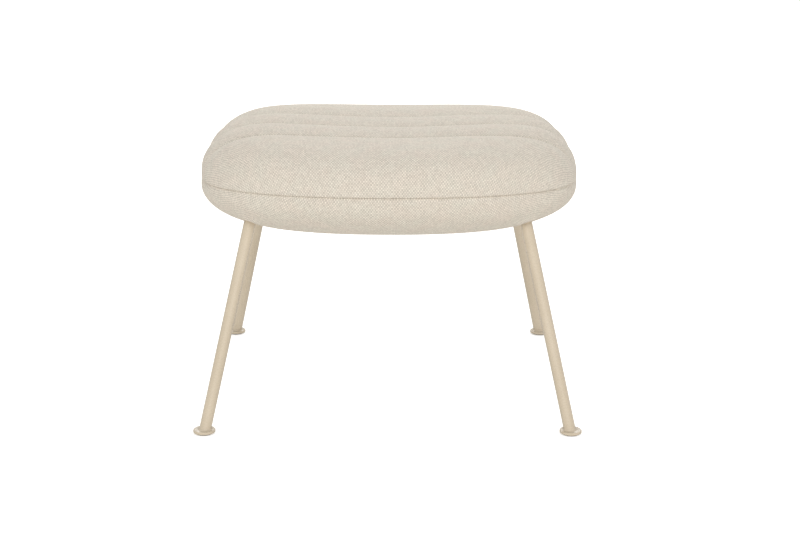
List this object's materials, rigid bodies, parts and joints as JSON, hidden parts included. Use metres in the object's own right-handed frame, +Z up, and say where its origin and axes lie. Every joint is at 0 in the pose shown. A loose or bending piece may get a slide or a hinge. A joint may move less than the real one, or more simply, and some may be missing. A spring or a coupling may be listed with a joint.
{
  "type": "footstool",
  "caption": "Low upholstered footstool with a channel-quilted cushion on a splayed frame of bent steel tube with flat round feet.",
  "frame": {"origin": "on the floor under the middle of the footstool", "axes": "+X across the width, +Y from the front to the back, +Z up"},
  "size_m": [0.53, 0.474, 0.3953],
  "materials": {
    "upholstery_fabric": "heathered cream weave",
    "frame_coat": "satin beige powder coat",
    "fastener_zinc": "zinc plated",
    "seat_plywood": "raw birch plywood",
    "cushion_foam": "moulded foam",
    "dust_fabric": "black non-woven sheet",
    "glide_plastic": "dark moulded plastic"
  },
  "bodies": {
    "root": {"side_frame_left": "frame_coat", "side_frame_right": "frame_coat", "cross_bar_front": "frame_coat", "cross_bar_rear": "frame_coat", "foot_disc_front_left": "frame_coat", "foot_disc_front_right": "frame_coat", "foot_disc_rear_left": "frame_coat", "foot_disc_rear_right": "frame_coat", "foot_glide_front_left": "glide_plastic", "foot_glide_front_right": "glide_plastic", "foot_glide_rear_left": "glide_plastic", "foot_glide_rear_right": "glide_plastic", "seat_screw_front_left": "fastener_zinc", "seat_screw_front_right": "fastener_zinc", "seat_screw_rear_left": "fastener_zinc", "seat_screw_rear_right": "fastener_zinc", "washer_front_left": "fastener_zinc", "washer_front_right": "fastener_zinc", "washer_rear_left": "fastener_zinc", "washer_rear_right": "fastener_zinc", "tee_nut_front_left": "fastener_zinc", "tee_nut_front_right": "fastener_zinc", "tee_nut_rear_left": "fastener_zinc", "tee_nut_rear_right": "fastener_zinc", "seat_board": "seat_plywood", "foam_core": "cushion_foam", "cover_channel_front": "upholstery_fabric", "cover_channel_front_middle": "upholstery_fabric", "cover_channel_rear_middle": "upholstery_fabric", "cover_channel_rear": "upholstery_fabric", "cover_lower_band": "upholstery_fabric", "dust_cover": "dust_fabric"}
  },
  "joints": []
}
